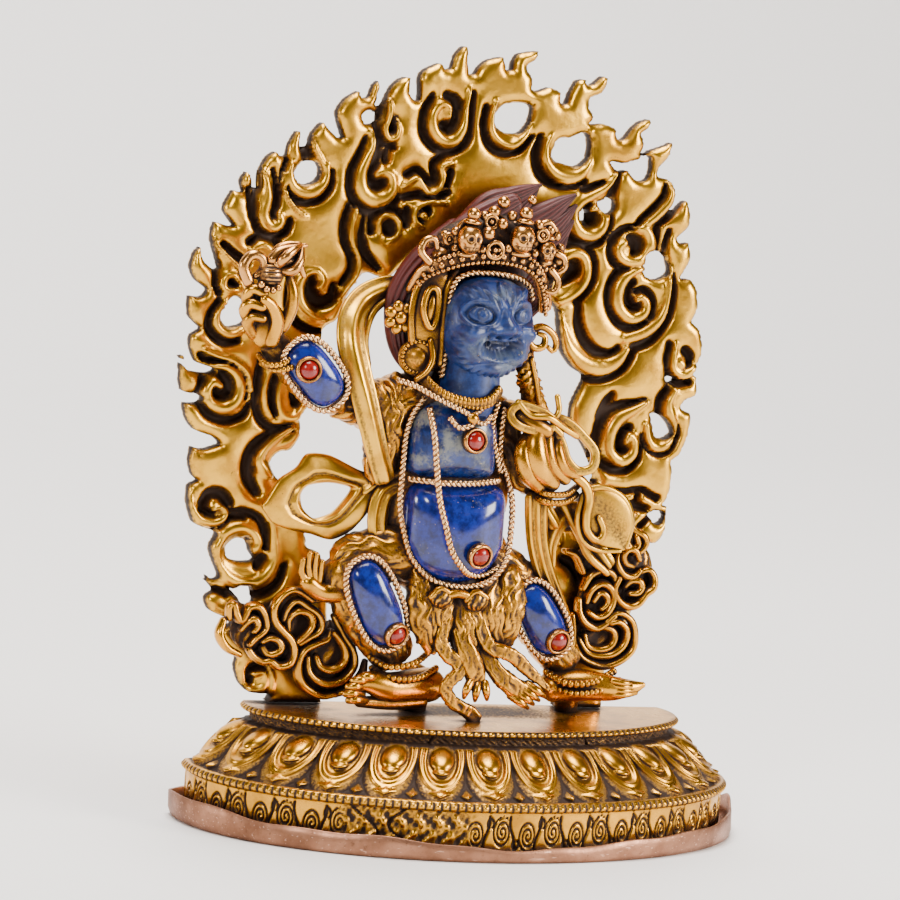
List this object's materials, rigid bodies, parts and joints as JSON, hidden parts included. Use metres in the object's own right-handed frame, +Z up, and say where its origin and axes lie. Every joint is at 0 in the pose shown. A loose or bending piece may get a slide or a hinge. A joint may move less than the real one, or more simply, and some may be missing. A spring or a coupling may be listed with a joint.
{
  "type": "gilt deity statue with flame aureole",
  "caption": "Gilt cast figure of a wrathful guardian with inlaid lapis body stones and coral cabochons, before a flame aureole on a lotus base.",
  "frame": {"origin": "on the flat underside of the copper sheet, at the centre of the base's oval; the cast figure faces -Y", "axes": "+Z up, +X to the viewer's right when facing the figure, -Y towards the viewer"},
  "size_m": [0.0877, 0.0321, 0.1099],
  "materials": {
    "copper": "dull, scratched copper sheet",
    "gilt_base": "gilt casting, dark patina in the hollows",
    "gilt_aureole": "gilt casting, satin, pitted, dark patina in the hollows",
    "gilt_figure": "gilt casting, polished high spots, dark patina in the hollows",
    "lapis_face": "carved, matt, mottled blue",
    "lapis": "polished, mottled blue with grey and gold flecks",
    "coral": "polished coral red",
    "bezel": "rosy gilt, satin",
    "wire": "rosy gilt twisted wire"
  },
  "bodies": {
    "root": {"bottom_plate": "copper", "lotus_base": "gilt_base", "flame_aureole": "gilt_aureole", "deity_figure": "gilt_figure", "face_stone": "lapis_face", "chest_stone": "lapis", "belly_stone": "lapis", "forearm_stone": "lapis", "right_shin_stone": "lapis", "left_shin_stone": "lapis", "chest_bezel": "bezel", "belly_bezel": "bezel", "forearm_bezel": "bezel", "right_shin_bezel": "bezel", "left_shin_bezel": "bezel", "chest_coral": "coral", "belly_coral": "coral", "forearm_coral": "coral", "right_shin_coral": "coral", "left_shin_coral": "coral", "face_wire": "wire", "torso_wire": "wire", "waist_wire": "wire", "hanging_rope": "wire", "forearm_wire": "wire", "right_shin_wire": "wire", "left_shin_wire": "wire"}
  },
  "joints": []
}
